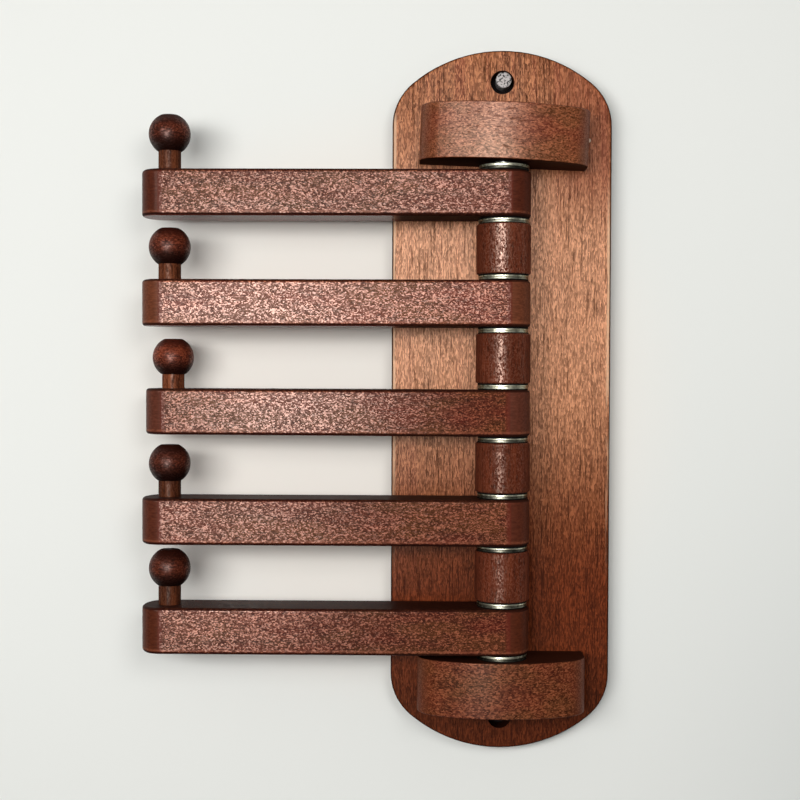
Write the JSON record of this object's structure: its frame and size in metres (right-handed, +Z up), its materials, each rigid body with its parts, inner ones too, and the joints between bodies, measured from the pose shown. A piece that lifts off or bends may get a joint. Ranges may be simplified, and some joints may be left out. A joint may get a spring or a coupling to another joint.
{
  "type": "swing arm wall coat rack",
  "caption": "Wooden wall coat rack: an arched back plate with two bearing blocks, a steel pivot rod and stacked bar arms that swing, each with a ball on a short peg at its tip.",
  "frame": {"origin": "middle of the back plate's back face, in the plane of the wall", "axes": "+X to the right as seen from the room, +Y into the wall, +Z up; the arms at rest point along -X"},
  "size_m": [0.2344, 0.0445, 0.3546],
  "materials": {
    "plate_wood": "stained and thinly varnished, satin, grain upright",
    "block_wood": "stained and thinly varnished, satin, grain level",
    "arm_wood": "stained and thinly varnished, satin, grain along the arm",
    "peg_wood": "dowel, dark stained, satin",
    "ball_wood": "turned, dark stained, satin, grain level",
    "spacer_wood": "turned, stained, satin",
    "washer_steel": "zinc plated",
    "rod_steel": "plain drawn",
    "screw_steel": "zinc plated"
  },
  "bodies": {
    "wall_unit": {"back_plate": "plate_wood", "top_block": "block_wood", "bottom_block": "block_wood", "pivot_rod": "rod_steel", "spacer_1": "spacer_wood", "spacer_2": "spacer_wood", "spacer_3": "spacer_wood", "spacer_4": "spacer_wood", "washer_01": "washer_steel", "washer_02": "washer_steel", "washer_03": "washer_steel", "washer_04": "washer_steel", "washer_05": "washer_steel", "washer_06": "washer_steel", "washer_07": "washer_steel", "washer_08": "washer_steel", "washer_09": "washer_steel", "washer_10": "washer_steel", "washer_11": "washer_steel", "washer_12": "washer_steel", "washer_13": "washer_steel", "washer_14": "washer_steel", "washer_15": "washer_steel", "washer_16": "washer_steel", "washer_17": "washer_steel", "washer_18": "washer_steel", "washer_19": "washer_steel", "washer_20": "washer_steel", "block_screws": "screw_steel"},
    "swing_arm_1": {"arm_1": "arm_wood", "peg_1": "peg_wood", "ball_1": "ball_wood"},
    "swing_arm_2": {"arm_2": "arm_wood", "peg_2": "peg_wood", "ball_2": "ball_wood"},
    "swing_arm_3": {"arm_3": "arm_wood", "peg_3": "peg_wood", "ball_3": "ball_wood"},
    "swing_arm_4": {"arm_4": "arm_wood", "peg_4": "peg_wood", "ball_4": "ball_wood"},
    "swing_arm_5": {"arm_5": "arm_wood", "peg_5": "peg_wood", "ball_5": "ball_wood"}
  },
  "joints": [
    {"name": "arm_1_swing", "type": "hinge", "parent": "wall_unit", "child": "swing_arm_1", "pos_m": [0, -0.03, 0.102], "axis": [0, 0, 1], "range_deg": [-3.6, 183.6]},
    {"name": "arm_2_swing", "type": "hinge", "parent": "wall_unit", "child": "swing_arm_2", "pos_m": [0, -0.03, 0.0483], "axis": [0, 0, 1], "range_deg": [-3.6, 183.6]},
    {"name": "arm_3_swing", "type": "hinge", "parent": "wall_unit", "child": "swing_arm_3", "pos_m": [0, -0.03, -0.0054], "axis": [0, 0, 1], "range_deg": [-0.6, 186.6]},
    {"name": "arm_4_swing", "type": "hinge", "parent": "wall_unit", "child": "swing_arm_4", "pos_m": [0, -0.03, -0.0591], "axis": [0, 0, 1], "range_deg": [-3.6, 183.6]},
    {"name": "arm_5_swing", "type": "hinge", "parent": "wall_unit", "child": "swing_arm_5", "pos_m": [0, -0.03, -0.11281], "axis": [0, 0, 1], "range_deg": [-3.6, 183.6]}
  ]
}
